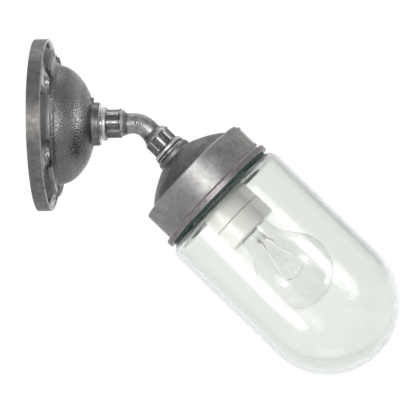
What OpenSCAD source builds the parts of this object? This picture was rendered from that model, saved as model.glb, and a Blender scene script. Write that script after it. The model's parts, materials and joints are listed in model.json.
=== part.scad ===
// Outdoor wall light: a domed cast rose, a 45 degree pipe bend for an arm, and a cast cap that holds a
// porcelain lampholder, a clear bulb and a screw-in glass jar.
// The wall is the plane x = 0, the light stands out along +x and z is up. The origin is the middle of
// the rose's back face. Everything past the bend lies on the lamp axis, which points down and outwards.

/* [Wall rose] */
// Outside diameter of the rose's rim
rose_d = 133; // [125:1:145]
// Length of the plain rim, from the wall to its front edge
rim_w = 10.8; // [9:0.2:12]
// Width of the land of the rim that touches the wall
rim_land = 6.2; // [5:0.2:7]
// Distance from the wall to the crest of the ridge round the dome
ridge_x = 16.6; // [16:0.2:18]
// Diameter of the dome where it leaves the ridge
dome_d = 92.4; // [88:0.4:96]
// Height of the dome above the plane of its widest part
dome_h = 28.8; // [27:0.2:32]
// Thickness of the dome's wall
rose_wall = 4; // [3:0.2:5]
// Diameter of the collar that the arm screws into
collar_d = 33.5; // [30:0.5:36]
// Distance from the wall to the collar's face
collar_x = 49.7; // [48:0.2:53]
// Distance from the wall to the flat inside the dome that the locknut bears on
seat_x = 36.5; // [35:0.2:38]

/* [Wall screw holes] */
// Number of pockets round the rose, each with one hole for a wall screw
pocket_count = 6; // [3:1:6]
// Diameter of the circle through the wall screw holes
screw_pcd = 110; // [108:1:112]
// Diameter of a wall screw hole
screw_hole_d = 5.2; // [4:0.2:6]
// Angle that one pocket takes up
pocket_angle = 24; // [16:1:28]
// Turn of the ring of pockets from the vertical
pocket_turn = -4.5; // [-15:0.5:15]
// Distance from the wall to the flat round a screw hole in a pocket
pocket_x = 12; // [11.4:0.2:12.6]
// Distance from the wall to a pocket's floor where it meets the dome
pocket_rise = 15.4; // [14.6:0.2:15.8]
// Diameter of the flat round a screw hole
screw_flat_d = 10.4; // [9:0.2:11]
// Depth of the groove inside the rim's front edge
groove_h = 1.4; // [0.8:0.2:1.6]

/* [Arm] */
// Outside diameter of the bend's plain tube
bend_tube_d = 15.6; // [15:0.2:16.6]
// Distance from the end of a socket to the middle of the bend
bend_reach = 30; // [28:0.5:36]
// Angle that the arm turns the lamp down from level
bend_angle = 45; // [30:1:60]
// Outside diameter of a socket over its ribs
socket_d = 22.4; // [21.6:0.2:23]
// Length of a socket with its band
socket_l = 18; // [17:0.5:19]
// Outside diameter of the band at the mouth of a socket
band_d = 26; // [24.5:0.5:28]
// Length of the band at the mouth of a socket
band_l = 2.8; // [2:0.2:3.6]
// Number of grip ribs round a socket
rib_count = 8; // [4:1:10]
// Gap between the collar and the first socket, where the nipple shows
arm_gap = 1.6; // [0.8:0.2:3]

/* [Pipe nipples] */
// Outside diameter of the threaded nipples
nipple_d = 16.2; // [16:0.1:16.6]
// Bore of the nipples and of the bend, which the wires pass through
wire_bore_d = 12.4; // [11:0.2:12.8]
// Depth that a nipple screws into a socket
nipple_grip = 11; // [9:0.5:12]
// Length of thread left past a locknut
nipple_spare = 1.8; // [1:0.2:3]
// Width of a locknut across its flats
nut_af = 22; // [21.5:0.5:22.5]
// Thickness of a locknut
nut_t = 4; // [3:0.5:5]

/* [Cap] */
// Thickness of the rubber washer between the arm and the cap
neck_washer_t = 0.9; // [0.6:0.1:2]
// Diameter of the ring at the top of the cap
neck_d = 29.6; // [28:0.2:31]
// Length of that ring along the lamp axis
neck_l = 6; // [5:0.2:7]
// Distance from the arm to the flat inside the cap that its locknut clamps
cap_seat_s = 13; // [12.5:0.5:14]
// Diameter of the cap's dome where it meets the shelf
cap_dome_d = 80.6; // [79:0.4:83]
// Distance from the arm to the shelf
shelf_s = 22.5; // [22:0.5:25]
// Outside diameter of the cap's band
cap_d = 96.6; // [95:0.4:99]
// Outside diameter of the flange at the mouth of the cap
flange_d = 104.6; // [103:0.4:108]
// Distance from the arm to the flange's lower face
cap_end_s = 53; // [52:0.5:56]
// Thickness of the flange
flange_t = 4.8; // [4:0.2:6]
// Inside diameter of the cap where the glass screws in
cap_bore_d = 86; // [86:0.2:88]
// Height of the plain raised pad on the band
pad_h = 1.6; // [1:0.2:3]
// Length of the raised pad along the lamp axis
pad_l = 19; // [14:0.5:20]
// Width of the raised pad round the band
pad_w = 32; // [20:1:50]

/* [Glass jar] */
// Outside diameter of the jar
jar_d = 110; // [108:1:116]
// Distance from the arm to the middle of the jar's round end
jar_round_s = 169.4; // [160:1:200]
// Thickness of the jar's wall
jar_wall = 4.5; // [3:0.5:5]
// Outside diameter of the jar's threaded neck
jar_neck_d = 84.2; // [83:0.2:84.4]
// Inside diameter of the jar's neck
jar_mouth_d = 74.8; // [70:0.2:76]
// Length of the neck above the seal
jar_neck_l = 15.2; // [12:0.2:16]
// Radius of the jar's shoulder
shoulder_r = 10; // [7:0.5:11]
// Thickness of the rubber seal
seal_t = 3; // [2:0.2:4]
// Width of the rubber seal, from its bore to its outside
seal_w = 6.2; // [4:0.2:6.4]
// Depth of the recess in the cap that the seal sits in
seal_recess = 1.8; // [1:0.2:2]

/* [Lampholder] */
// Outside diameter of the porcelain
holder_d = 43; // [42:0.5:45]
// Distance from the arm to the back of the porcelain
holder_back_s = 36; // [35:0.5:38]
// Distance from the arm to the joint between the two porcelain pieces
holder_joint_s = 73; // [71:0.5:75]
// Distance from the arm to the front of the porcelain
holder_front_s = 88; // [86.5:0.5:89]
// Thickness of the steel strip that the holder hangs from
bracket_t = 1.6; // [1.2:0.2:2]
// Width of that strip
bracket_w = 22; // [20:1:24]
// Distance between the outsides of the bracket's legs
bracket_span = 30; // [30:0.5:31]
// Distance between the two screws of the holder
holder_screw_pitch = 36; // [36:0.5:37]
// Length of those screws
holder_screw_l = 10; // [8:1:14]

/* [Bulb] */
// Diameter of the bulb
bulb_d = 60; // [56:1:64]
// Length of the bulb, from its contact to its tip
bulb_l = 105; // [101:1:112]
// Diameter of the bulb's screw cap, without its thread
bulb_cap_d = 26.4; // [26:0.1:26.4]
// Length of the bulb's screw cap with its insulator and contact
bulb_cap_l = 27; // [26:0.5:28]
// Distance from the arm to the bulb's contact
bulb_foot_s = 59; // [59:0.2:60]
// Thickness of the bulb's glass
bulb_wall = 1; // [0.8:0.1:1.4]

/* [Wiring] */
// Diameter of an insulated wire
wire_d = 2.3; // [2:0.1:2.4]
// Distance between the two lamp wires in the arm
wire_gap = 4.4; // [3.6:0.2:5]
// Distance between two poles of the terminal block
pole_pitch = 10; // [9:0.5:11]
// Length of the terminal block along its wires
block_l = 16; // [14:1:18]
// Radius of the brass tubes in the block
tube_r = 2.4; // [2.2:0.1:2.6]
// Thickness of the block's plastic round a tube, and of its floor
block_wall = 1.2; // [1:0.1:1.4]
// Height of the terminal block
block_h = 12; // [11:0.5:13]
// Distance from the wall to the bosses that the block and the earth tag stand on
boss_x = 16; // [16:0.5:18]
// Distance of the terminal block's middle below the origin
block_drop = 26; // [25:0.5:27]
// Distance of the earth screw above the origin
earth_rise = 30; // [28:0.5:31]

/* [Fits] */
// Radial play of a thread or a shank in its hole
thread_play = 0.05; // [0.02:0.01:0.08]
// Radial play round a piece that comes out with the jar or the bulb
moving_play = 0.3; // [0.2:0.1:0.5]

/* [Hidden] */
$fn = 96;

// Past a face, so that a cut goes clean through
over = 1;

// Rose
rose_r = rose_d / 2;
dome_r = dome_d / 2;
dome_x = ridge_x - 0.1;
cavity_r = rose_r - rim_land;
cavity_floor_x = pocket_x - 3.4;
ridge_r = dome_r + 8;
pocket_in_r = dome_r + 2;
rim_edge_r = rose_r - 1.9;
pad_turn = 1;
collar_round = 2;
boss_d = 11;
fixing_boss_d = 6.4;
fixing_d = 3;
nipple_r = nipple_d / 2;
tapped_r = nipple_r + thread_play;
wire_bore_r = wire_bore_d / 2;
lock_washer_t = 1.2;
nut_x = seat_x - lock_washer_t - nut_t;

// Grub screw, which bites on the nipple from above
grub_d = 4;
grub_x = dome_x + dome_h * sin(64);
grub_top = 20.4;

// Arm
face_x = collar_x + arm_gap;
bend_x = face_x + bend_reach;
bend_start_x = face_x + socket_l;
bend_r = (bend_reach - socket_l) / tan(bend_angle / 2);
lamp_x = bend_x + bend_reach * cos(bend_angle);
lamp_z = -bend_reach * sin(bend_angle);
rib_h = 0.9;
tube_mid_r = (bend_tube_d / 2 + wire_bore_r) / 2;
tube_lap = 0.4;
shoulder_l = 3.2;
rib_w = 3.2;
pip_d = 2.4;
pip_angles = [17.5, 24.5];

// Cap
cap_top_s = neck_washer_t;
cap_r = cap_d / 2;
flange_r = flange_d / 2;
cap_bore_r = cap_bore_d / 2;
cap_wall = 4;
seal_s = cap_end_s - seal_recess;
seal_bore_r = jar_neck_d / 2 + moving_play;
seal_r = seal_bore_r + seal_w;
dome_bend_s = (cap_top_s + neck_l + shelf_s) / 2 - 0.6;
dome_bend_r = cap_dome_d / 2 - (shelf_s - dome_bend_s);
pad_mid_s = (shelf_s + cap_end_s - flange_t) / 2 + 0.6;
pad_rim = 1.6;
pad_recess = 0.6;

// Jar
jar_r = jar_d / 2;
jar_neck_r = jar_neck_d / 2;
jar_mouth_r = jar_mouth_d / 2;
jar_seat_s = seal_s + seal_t;
jar_rim_s = jar_seat_s - jar_neck_l;
shoulder_s = jar_seat_s + shoulder_r;

// Lampholder
holder_r = holder_d / 2;
leg_y = bracket_span / 2;
web_corner = norm([leg_y, bracket_w / 2]);
foot_y = holder_r - 0.5;
holder_screw_y = holder_screw_pitch / 2;
holder_screw_d = 3.2;
holder_screw_head_d = 5.2;
wire_bend_l = 5;
bulb_cap_r = bulb_cap_d / 2;
shell_r = bulb_cap_r + 0.2;
shell_t = 0.5;
shell_front_s = bulb_foot_s + bulb_cap_l - 2;
plate_t = 0.6;
holder_floor_s = bulb_foot_s - 4.5;
holder_bore_r = shell_r + 1.2;
holder_room_r = shell_r + shell_t + 1.3;
spigot_r = holder_r - 2.9;
spigot_l = 6;
terminal_y = 7;

// Bulb
bulb_r = bulb_d / 2;
bulb_mid_s = bulb_foot_s + bulb_l - bulb_r;
bulb_rim_s = bulb_foot_s + bulb_cap_l;
cap_skin = 0.6;
bulb_neck_r = bulb_cap_r - cap_skin - thread_play;
insulator_s = bulb_foot_s + 1.5;
cap_start_s = bulb_foot_s + 4.6;
neck_end_s = bulb_rim_s - 12;
press_s = bulb_rim_s + 11;
button_s = bulb_mid_s - 9;
support_foot_s = button_s + 0.5;
lead_foot = 2.5;
lead_tip = 11;
lead_d = 0.8;
support_d = 0.4;
filament_d = 0.6;
filament_s = bulb_mid_s + filament_d / 2 + 0.12;
filament_turn = 20;

// Terminal block and earth
wire_r = wire_d / 2;
wire_spread_x = nut_x - nipple_spare - 10;
block_w = 3 * pole_pitch;
block_x = boss_x - block_h;
tube_x = boss_x - block_h / 2;
tube_bore_r = wire_r + 0.35;
terminal_screw_d = 3.4;
fixing_head_d = 3.8;
block_floor = 4;
fixing_l = 11;
earth_screw_d = 4.8;
tag_t = 1;
barrel_x = boss_x - 2;
barrel_top_z = earth_rise - 8;
barrel_l = 6;

function arc(mid, r, from, to, n) =
    [for (i = [0:n]) let (a = from + (to - from) * i / n) mid + r * [cos(a), sin(a)]];

function oval(mid, rx, ry, from, to, n) =
    [for (i = [0:n]) let (a = from + (to - from) * i / n) mid + [rx * cos(a), ry * sin(a)]];

function curve(a, b, c, n) =
    [for (i = [0:n]) let (t = i / n) (1 - t) * (1 - t) * a + 2 * t * (1 - t) * b + t * t * c];

function curve4(a, b, c, d, n) = [for (i = [0:n]) let (t = i / n, u = 1 - t)
    u * u * u * a + 3 * u * u * t * b + 3 * u * t * t * c + t * t * t * d];

// A point given in the lamp's own frame: x and y across the lamp axis, s along it from the arm
function lamp_point(x, y, s) = [
    lamp_x + s * cos(bend_angle) - x * sin(bend_angle),
    y,
    lamp_z - s * sin(bend_angle) - x * cos(bend_angle)];

module on_wall_axis() rotate([0, 90, 0]) children();

module on_lamp_axis()
    translate([lamp_x, 0, lamp_z]) rotate([0, 90 + bend_angle, 0]) children();

module ring(outer, inner, from, to)
    translate([0, 0, from]) difference() {
        cylinder(r = outer, h = to - from);
        translate([0, 0, -over]) cylinder(r = inner, h = to - from + 2 * over);
    }

module hex_nut(width, bore, thick)
    difference() {
        intersection() {
            cylinder(d = width / cos(30), h = thick, $fn = 6);
            rotate_extrude() polygon([
                [0, 0], [width / 2, 0], [width / 2 + 1.4, 0.8],
                [width / 2 + 1.4, thick - 0.8], [width / 2, thick], [0, thick]]);
        }
        translate([0, 0, -over]) cylinder(r = bore, h = thick + 2 * over);
    }

// A screw along +z from the underside of its pan head, with a slot across the head
module slotted_screw(shank, head, head_t, length)
    difference() {
        union() {
            cylinder(d = shank, h = length);
            translate([0, 0, -head_t]) cylinder(d1 = head - 1, d2 = head, h = head_t);
        }
        translate([-head, -0.4, -head_t - over]) cube([2 * head, 0.8, over + head_t * 0.45]);
    }

// A round tube swept along a list of points that never runs along y
module sweep(points, radius, sides) {
    last = len(points) - 1;
    rings = [for (i = [0:last]) let (
            ahead = points[min(i + 1, last)] - points[max(i - 1, 0)],
            t = ahead / norm(ahead),
            n = cross(t, [0, 1, 0]),
            across = n / norm(n),
            up = cross(t, across))
        for (k = [0:sides - 1]) points[i]
            + radius * (cos(360 * k / sides) * across + sin(360 * k / sides) * up)];
    skin = [for (i = [0:last - 1], k = [0:sides - 1]) let (m = (k + 1) % sides)
        [i * sides + k, i * sides + m, (i + 1) * sides + m, (i + 1) * sides + k]];
    first_end = [for (k = [0:sides - 1]) sides - 1 - k];
    last_end = [for (k = [0:sides - 1]) last * sides + k];
    polyhedron(rings, concat(skin, [first_end, last_end]));
}

// Rose outline as [distance from its axis, distance from the wall]
module rose_outline()
    polygon(concat(
        [[0, 0], [rose_r, 0], [rose_r, rim_w - 0.8], [rose_r - 0.7, rim_w], [rim_edge_r, rim_w],
            [rim_edge_r - 1.1, rim_w - groove_h], [rim_edge_r - 2.5, rim_w - groove_h],
            [ridge_r + 3, ridge_x - 2.6], [ridge_r + 2, ridge_x - 2.7]],
        arc([ridge_r, ridge_x - 1.2], 1.2, 0, 180, 6),
        curve([ridge_r - 2.4, ridge_x - 0.8], [dome_r + 2, ridge_x], [dome_r - 0.2, dome_x + 2.6], 4),
        oval([0, dome_x], dome_r, dome_h, 6, 66, 20),
        [[collar_d / 2, dome_x + dome_h * 0.945]],
        arc([collar_d / 2 - collar_round, collar_x - collar_round], collar_round, 0, 90, 5),
        [[0, collar_x]]));

module rose_cavity_outline() {
    in_r = dome_r - rose_wall;
    in_h = dome_h - rose_wall;
    flat_angle = asin((seat_x - dome_x) / in_h);
    polygon(concat(
        [[0, -over], [cavity_r, -over], [cavity_r, cavity_floor_x - 1.2],
            [cavity_r - 1.2, cavity_floor_x], [dome_r, cavity_floor_x], [in_r + 1, cavity_floor_x + 2]],
        oval([0, dome_x], in_r, in_h, 0, flat_angle, 12),
        [[0, seat_x]]));
}

module at_pockets()
    for (i = [0:pocket_count - 1])
        rotate([0, 0, 180 + pocket_turn + i * 360 / pocket_count]) children();

module rose_bosses() {
    at_pockets() translate([screw_pcd / 2, 0, -over]) cylinder(d = boss_d, h = pocket_x + over);
    translate([-earth_rise, 0, boss_x]) cylinder(d = boss_d, h = collar_x - boss_x);
    for (side = [-1, 1]) translate([block_drop, side * pole_pitch / 2, boss_x])
        cylinder(d = fixing_boss_d, h = collar_x - boss_x);
}

// The ring between the rim and the dome at one pocket, from the given depth below the pocket's floor
module pocket_wedge(turn, below, above)
    rotate([0, 0, -turn / 2]) rotate_extrude(angle = turn) polygon([
        [pocket_in_r, pocket_rise - below], [rim_edge_r + 0.4, rim_w - 0.1 - below],
        [rim_edge_r + 0.4, rim_w - 0.1 + above], [pocket_in_r, pocket_rise + above]]);

// The turned outline, with the ring cut away at each pocket and a low pad laid in its place
module rose_blank() {
    difference() {
        rotate_extrude() rose_outline();
        at_pockets() intersection() {
            pocket_wedge(pocket_angle, 0.8, ridge_x);
            cylinder(r = rim_edge_r - 0.2, h = 2 * ridge_x);
        }
    }
    at_pockets() pocket_wedge(pocket_angle + 2 * pad_turn, 1.6, 0);
}

module rose()
    color([0.42, 0.41, 0.40]) on_wall_axis() difference() {
        rose_blank();
        difference() {
            rotate_extrude() rose_cavity_outline();
            intersection() {
                rose_bosses();
                cylinder(r = rose_r, h = collar_x);
            }
        }
        at_pockets() translate([screw_pcd / 2, 0, 0]) {
            translate([0, 0, -over]) cylinder(d = screw_hole_d, h = pocket_x + 2 * over);
            translate([0, 0, pocket_x]) cylinder(d = screw_flat_d, h = ridge_x);
        }
        translate([0, 0, seat_x - over]) cylinder(r = tapped_r, h = collar_x - seat_x + 2 * over);
        translate([-earth_rise, 0, boss_x - over])
            cylinder(r = earth_screw_d / 2 + thread_play, h = 12 + over);
        for (side = [-1, 1]) translate([block_drop, side * pole_pitch / 2, boss_x - over])
            cylinder(r = fixing_d / 2 + thread_play, h = 9 + over);
        translate([0, 0, grub_x]) rotate([0, -90, 0])
            cylinder(r = grub_d / 2 + thread_play, h = dome_r);
    }

module rose_nipple()
    color("silver") on_wall_axis()
        ring(nipple_r, wire_bore_r, nut_x - nipple_spare, face_x + nipple_grip);

module rose_lock_washer()
    color("silver") on_wall_axis()
        ring(nut_af / 2, tapped_r + 0.2, seat_x - lock_washer_t, seat_x);

module rose_locknut()
    color("silver") on_wall_axis()
        translate([0, 0, nut_x]) hex_nut(nut_af, tapped_r, nut_t);

module arm_grub_screw()
    color([0.25, 0.25, 0.26]) translate([grub_x, 0, 0]) difference() {
        translate([0, 0, nipple_r]) cylinder(d = grub_d, h = grub_top - nipple_r);
        translate([0, 0, grub_top - 2]) cylinder(d = grub_d / 2, h = 2 + over, $fn = 6);
    }

module at_poles()
    for (i = [-1:1]) translate([0, i * pole_pitch, -block_drop]) children();

module terminal_block()
    color([0.93, 0.92, 0.88]) difference() {
        union() {
            translate([boss_x - block_floor, -block_w / 2, -block_drop - block_l / 2])
                cube([block_floor, block_w, block_l]);
            at_poles() {
                translate([tube_x, 0, -block_l / 2]) cylinder(r = tube_r + block_wall, h = block_l);
                for (side = [-1, 1]) translate([block_x, 0, side * block_l / 4])
                    rotate([0, 90, 0]) cylinder(r = terminal_screw_d / 2 + 1, h = block_h / 2);
            }
        }
        at_poles() {
            translate([tube_x, 0, -block_l / 2 - over])
                cylinder(r = tube_r + thread_play, h = block_l + 2 * over);
            for (side = [-1, 1]) translate([block_x - over, 0, side * block_l / 4])
                rotate([0, 90, 0])
                    cylinder(r = terminal_screw_d / 2 + thread_play, h = block_h / 2);
        }
        for (side = [-1, 1]) translate([block_x, side * pole_pitch / 2, -block_drop]) rotate([0, 90, 0]) {
            cylinder(r = fixing_d / 2 + thread_play, h = block_h + over);
            cylinder(r = fixing_head_d / 2 + thread_play, h = block_h - block_floor);
        }
    }

module terminal_tubes()
    color("goldenrod") at_poles() difference() {
        translate([tube_x, 0, -block_l / 2 + 1]) cylinder(r = tube_r, h = block_l - 2);
        translate([tube_x, 0, -block_l / 2 - over]) cylinder(r = tube_bore_r, h = block_l + 2 * over);
        for (side = [-1, 1]) translate([block_x, 0, side * block_l / 4])
            rotate([0, 90, 0]) cylinder(r = terminal_screw_d / 2 + thread_play, h = block_h / 2);
    }

module terminal_screws()
    color("silver") at_poles() for (side = [-1, 1])
        translate([block_x + 1, 0, side * block_l / 4]) rotate([0, 90, 0]) difference() {
            cylinder(d = terminal_screw_d, h = tube_x - wire_r - block_x - 1);
            translate([-3, -0.3, -over]) cube([6, 0.6, over + 0.7]);
        }

module terminal_fixings()
    color("silver") for (side = [-1, 1])
        translate([boss_x - block_floor, side * pole_pitch / 2, -block_drop]) rotate([0, 90, 0])
            slotted_screw(fixing_d, fixing_head_d, 1.6, fixing_l);

module earth_screw()
    color("goldenrod") translate([boss_x - tag_t - 1, 0, earth_rise]) rotate([0, 90, 0])
        slotted_screw(earth_screw_d, 9, 3, 12);

module earth_washer()
    color("silver") translate([boss_x - tag_t - 1, 0, earth_rise]) rotate([0, 90, 0])
        ring(5.4, earth_screw_d / 2 + 0.2, 0, 1);

module earth_tag()
    color("goldenrod") difference() {
        union() {
            translate([boss_x - tag_t, 0, earth_rise]) rotate([0, 90, 0]) cylinder(r = 5, h = tag_t);
            translate([boss_x - tag_t, -2, barrel_top_z - 1])
                cube([tag_t, 4, earth_rise - barrel_top_z + 1]);
            translate([barrel_x, 0, barrel_top_z - barrel_l]) cylinder(r = 2.1, h = barrel_l);
        }
        translate([boss_x - 2 * tag_t, 0, earth_rise]) rotate([0, 90, 0])
            cylinder(r = earth_screw_d / 2 + 0.2, h = 3 * tag_t);
        translate([barrel_x, 0, barrel_top_z - barrel_l - over])
            cylinder(r = wire_r + thread_play, h = barrel_l);
    }

// From the middle pole of the block up to the barrel of the earth tag
module earth_wire()
    color([0.35, 0.6, 0.2]) sweep(concat(
        [[tube_x, 0, -block_drop]],
        curve4([tube_x, 0, -block_drop + block_l / 2], [tube_x, 0, 0],
            [barrel_x, 0, 2], [barrel_x, 0, barrel_top_z - barrel_l], 10),
        [[barrel_x, 0, barrel_top_z - over]]), wire_r, 8);

// From an outer pole through the arm to the back of the lampholder, on the side given by 1 or -1
function lamp_wire_route(side) =
    let (y = side * wire_gap / 2, pole_y = side * pole_pitch, end_y = side * terminal_y,
        top_z = -block_drop + block_l / 2, lamp_start_s = cap_seat_s + nut_t + 5)
    concat(
        [[tube_x, pole_y, -block_drop]],
        curve4([tube_x, pole_y, top_z], [tube_x, pole_y, -4],
            [wire_spread_x, y, 0], [nut_x - nipple_spare, y, 0], 10),
        [for (i = [0:6]) let (a = bend_angle * i / 6)
            [bend_start_x + bend_r * sin(a), y, -bend_r * (1 - cos(a))]],
        curve4(lamp_point(0, y, lamp_start_s), lamp_point(0, y, lamp_start_s + wire_bend_l),
            lamp_point(0, end_y, holder_back_s - 1 - wire_bend_l),
            lamp_point(0, end_y, holder_back_s - 1), 8),
        [lamp_point(0, end_y, holder_floor_s)]);

module live_wire()
    color([0.45, 0.25, 0.12]) sweep(lamp_wire_route(-1), wire_r, 8);

module neutral_wire()
    color([0.15, 0.3, 0.7]) sweep(lamp_wire_route(1), wire_r, 8);

// One socket of the bend, from its shoulder at z = 0 to its mouth. It starts a little way over the tube
module socket() {
    core_r = socket_d / 2 - rib_h;
    band_s = socket_l - band_l;
    rib_s = shoulder_l - 0.3;
    rotate_extrude() polygon(concat(
        [[tube_mid_r, -tube_lap], [bend_tube_d / 2 + 0.3, -tube_lap], [bend_tube_d / 2 + 0.9, 0.7]],
        arc([core_r - 1.6, shoulder_l], 1.6, -36, 0, 3),
        [[core_r, band_s - 0.8], [band_d / 2 - 0.5, band_s], [band_d / 2, band_s + 0.6],
            [band_d / 2, socket_l - 0.5], [band_d / 2 - 0.5, socket_l], [tapped_r, socket_l],
            [tapped_r, socket_l - nipple_grip], [tube_mid_r, socket_l - nipple_grip]]));
    intersection() {
        for (i = [0:rib_count - 1]) rotate([0, 0, (i + 0.5) * 360 / rib_count])
            translate([tapped_r, -rib_w / 2, 0]) cube([band_d, rib_w, socket_l]);
        rotate_extrude() polygon([
            [core_r - 0.8, rib_s], [core_r + 0.1, rib_s], [socket_d / 2 - 0.2, rib_s + 0.7],
            [socket_d / 2, rib_s + 1.2], [socket_d / 2, band_s + 0.3], [core_r - 0.8, band_s + 0.3]]);
    }
}

module bend()
    translate([bend_start_x, 0, -bend_r]) rotate([90, 0, 0]) rotate([0, 0, 90 - bend_angle])
        rotate_extrude(angle = bend_angle) translate([bend_r, 0]) difference() {
            circle(d = bend_tube_d);
            circle(r = wire_bore_r);
        }

// Two small pips that the casting carries on one side of the bend
module pips()
    for (a = pip_angles) translate([
        bend_start_x + bend_r * sin(a), 0.7 - bend_tube_d / 2, -bend_r * (1 - cos(a))])
            rotate([90, 0, 0]) cylinder(d1 = pip_d, d2 = pip_d * 0.6, h = 1.4);

module elbow()
    color([0.55, 0.57, 0.58]) {
        bend();
        translate([bend_start_x, 0, 0]) rotate([0, -90, 0]) socket();
        on_lamp_axis() translate([0, 0, -socket_l]) socket();
        pips();
    }

module lamp_nipple()
    color("silver") on_lamp_axis()
        ring(nipple_r, wire_bore_r, -nipple_grip, cap_seat_s + bracket_t + nut_t + nipple_spare);

module neck_washer()
    color([0.05, 0.05, 0.05]) on_lamp_axis()
        ring(band_d / 2 + 0.2, tapped_r, 0, neck_washer_t);

// Cap outline as [distance from the lamp axis, distance along it from the arm]
module cap_outline() {
    dome_r = cap_dome_d / 2;
    neck_r = neck_d / 2;
    polygon(concat(
        [[0, cap_top_s], [neck_r - 1.5, cap_top_s], [neck_r - 1.3, cap_top_s + 1.2],
            [neck_r - 0.1, cap_top_s + 3], [neck_r, cap_top_s + neck_l - 0.4]],
        curve([neck_r + 0.2, cap_top_s + neck_l], [dome_bend_r, dome_bend_s], [dome_r, shelf_s], 12),
        [[cap_r - 1, shelf_s + 0.9], [cap_r, shelf_s + 1.7], [cap_r, cap_end_s - flange_t - 0.8]],
        arc([cap_r + 0.8, cap_end_s - flange_t - 0.8], 0.8, 180, 90, 3),
        arc([flange_r - 1.2, cap_end_s - flange_t + 1.2], 1.2, -90, 0, 4),
        [[flange_r, cap_end_s - 0.3], [flange_r - 0.3, cap_end_s], [0, cap_end_s]]));
}

module cap_cavity_outline() {
    seal_room = seal_r + moving_play + 0.1;
    dome_r = cap_dome_d / 2;
    polygon(concat(
        [[0, cap_end_s + over], [seal_room, cap_end_s + over], [seal_room, seal_s],
            [cap_bore_r, seal_s], [cap_bore_r, shelf_s + cap_wall + 2],
            [cap_bore_r - 2, shelf_s + cap_wall]],
        curve([dome_r - 1.3, shelf_s + cap_wall], [dome_bend_r - cap_wall / 2, dome_bend_s + cap_wall],
            [web_corner + 0.6, cap_seat_s], 12),
        [[0, cap_seat_s]]));
}

module cap_pad(depth, margin) {
    turn = 2 * asin((pad_w / 2 - margin) / cap_r);
    rotate([0, 0, 180 - turn / 2]) rotate_extrude(angle = turn)
        translate([cap_r - over, pad_mid_s - pad_l / 2 + margin])
            square([over + depth, pad_l - 2 * margin]);
}

module cap()
    color([0.45, 0.44, 0.43]) on_lamp_axis() difference() {
        union() {
            rotate_extrude() cap_outline();
            difference() {
                cap_pad(pad_h, 0);
                difference() {
                    cap_pad(pad_h + over, pad_rim);
                    cylinder(r = cap_r + pad_h - pad_recess, h = cap_end_s);
                }
            }
        }
        rotate_extrude() cap_cavity_outline();
        cylinder(r = tapped_r, h = cap_seat_s + over);
    }

module cap_locknut()
    color("silver") on_lamp_axis()
        translate([0, 0, cap_seat_s + bracket_t]) hex_nut(nut_af, tapped_r, nut_t);

// Half of the bracket's outline, from the web's outside round to its inside, on the side 1 or -1
function bracket_half(side) = [
    [side * (leg_y - 1), cap_seat_s], [side * leg_y, cap_seat_s + 1],
    [side * leg_y, holder_back_s - bracket_t], [side * foot_y, holder_back_s - bracket_t],
    [side * foot_y, holder_back_s], [side * (leg_y - bracket_t + 1), holder_back_s],
    [side * (leg_y - bracket_t), holder_back_s - 1],
    [side * (leg_y - bracket_t), cap_seat_s + bracket_t]];

// A strip bent into a channel, with feet turned out over the back of the porcelain
module holder_bracket()
    color("silver") on_lamp_axis() difference() {
        translate([-bracket_w / 2, 0, 0]) rotate([90, 0, 90]) linear_extrude(bracket_w)
            polygon(concat(bracket_half(1), [for (i = [7:-1:0]) bracket_half(-1)[i]]));
        cylinder(r = tapped_r, h = cap_seat_s + bracket_t + over);
        for (side = [-1, 1]) translate([0, side * holder_screw_y, holder_back_s - 2 * bracket_t])
            cylinder(r = holder_screw_d / 2 + thread_play, h = 3 * bracket_t);
    }

module holder_screws()
    color("silver") on_lamp_axis() for (side = [-1, 1])
        translate([0, side * holder_screw_y, holder_back_s - bracket_t])
            slotted_screw(holder_screw_d, holder_screw_head_d, 2, holder_screw_l);

module holder_base()
    color([0.95, 0.94, 0.9]) on_lamp_axis() difference() {
        rotate_extrude() polygon(concat(
            [[0, holder_back_s]],
            arc([holder_r - 2, holder_back_s + 2], 2, -90, 0, 4),
            [[holder_r, holder_joint_s - 0.5], [holder_r - 0.5, holder_joint_s],
                [spigot_r, holder_joint_s], [spigot_r, holder_joint_s + spigot_l],
                [0, holder_joint_s + spigot_l]]));
        translate([0, 0, holder_floor_s]) cylinder(r = holder_room_r, h = bulb_l);
        for (side = [-1, 1]) {
            translate([0, side * terminal_y, holder_back_s - over])
                cylinder(r = wire_r + thread_play, h = bulb_l);
            translate([0, side * holder_screw_y, holder_back_s - over])
                cylinder(r = holder_screw_d / 2 + thread_play, h = holder_screw_l + over);
        }
    }

module holder_ring()
    color([0.95, 0.94, 0.9]) on_lamp_axis() difference() {
        rotate_extrude() polygon(concat(
            [[0, holder_joint_s], [holder_r - 0.5, holder_joint_s], [holder_r, holder_joint_s + 0.5]],
            arc([holder_r - 1.6, holder_front_s - 1.6], 1.6, 0, 90, 4),
            [[0, holder_front_s]]));
        translate([0, 0, holder_joint_s - over])
            cylinder(r = spigot_r + thread_play, h = spigot_l + over);
        cylinder(r = holder_bore_r, h = holder_front_s + over);
    }

// The screw shell, with a tongue under it that the neutral wire is fixed to
module holder_shell()
    color("goldenrod") on_lamp_axis() {
        ring(shell_r + shell_t, shell_r, holder_floor_s, shell_front_s);
        intersection() {
            translate([-3, terminal_y - 2, holder_floor_s]) cube([6, holder_r, plate_t]);
            cylinder(r = shell_r + shell_t / 2, h = bulb_mid_s);
        }
    }

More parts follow.
